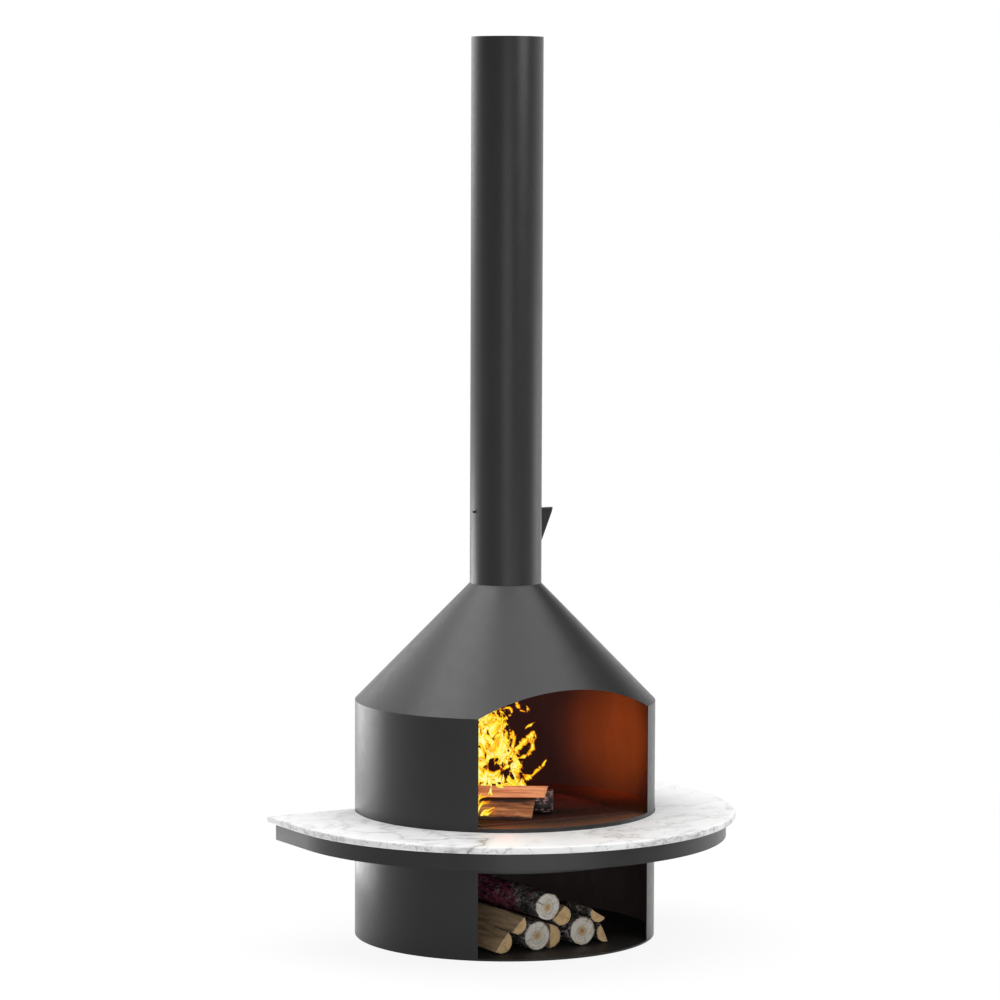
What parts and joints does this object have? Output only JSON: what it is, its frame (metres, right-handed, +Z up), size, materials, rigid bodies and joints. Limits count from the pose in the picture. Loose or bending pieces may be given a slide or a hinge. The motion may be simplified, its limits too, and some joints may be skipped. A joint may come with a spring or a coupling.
{
  "type": "open fireplace with hood and flue",
  "caption": "Round steel open fireplace with a log store, half-round marble shelf, arched firebox mouth, cone hood and tall flue with a turning damper.",
  "frame": {"origin": "on the floor, on the axis of the drum", "axes": "+Z up along the flue, -Y towards the front with the firebox mouth, +X towards the damper's handle"},
  "size_m": [1.292, 1.066, 2.5],
  "materials": {
    "stove_paint": "satin anthracite heat-proof paint",
    "hearth_steel": "matt black, sooty",
    "sheet_steel": "dull sheet steel",
    "bolt_steel": "blackened steel",
    "bush_metal": "dull bronze",
    "pad_rubber": "matt",
    "marble": "polished white marble with grey veins",
    "grate_iron": "matt cast iron",
    "round_log": "bark with sawn ends",
    "split_log": "split wood with some bark",
    "burning_log": "scorched split wood"
  },
  "bodies": {
    "hearth": {"base_plate": "hearth_steel", "base_drum": "stove_paint", "joining_ring": "hearth_steel", "hearth_plate": "hearth_steel", "hearth_bolts": "bolt_steel", "ash_well": "hearth_steel", "firebox_shell": "stove_paint", "hood_cone": "stove_paint", "flue_collar": "sheet_steel", "flue_tube": "stove_paint", "damper_bushes": "bush_metal", "shelf_band": "stove_paint", "shelf_back_bar_left": "stove_paint", "shelf_back_bar_right": "stove_paint", "shelf_tray": "stove_paint", "shelf_ribs": "stove_paint", "marble_pads": "pad_rubber", "marble_shelf": "marble", "store_log_round_left": "round_log", "store_log_round_right": "round_log", "store_log_round_top": "round_log", "store_log_split_left": "split_log", "store_log_split_middle": "split_log", "store_log_split_right": "split_log", "store_log_upper_left": "split_log", "store_log_upper_middle": "split_log", "store_log_upper_right": "split_log"},
    "damper": {"damper_spindle": "bolt_steel", "damper_disc": "sheet_steel", "damper_screws": "bolt_steel", "damper_nuts": "bolt_steel", "damper_handle": "stove_paint"},
    "grate": {"fire_grate": "grate_iron", "fire_log_front": "burning_log", "fire_log_back": "burning_log", "fire_log_top": "burning_log"},
    "ash_pan": {"ash_pan": "sheet_steel", "ash_pan_handle": "sheet_steel"}
  },
  "joints": [
    {"name": "damper_turn", "type": "hinge", "parent": "hearth", "child": "damper", "pos_m": [0, 0, 1.189], "axis": [1, 0, 0], "range_deg": [0, 90]},
    {"name": "grate_lift", "type": "slide", "parent": "hearth", "child": "grate", "axis": [0, 0, 1], "range_m": [0, 0.12]},
    {"name": "ash_pan_lift", "type": "slide", "parent": "hearth", "child": "ash_pan", "axis": [0, 0, 1], "range_m": [0, 0.072]}
  ],
  "couplings": [
    {"joint": "ash_pan_lift", "follows": "grate_lift", "ratio": 0.6}
  ]
}
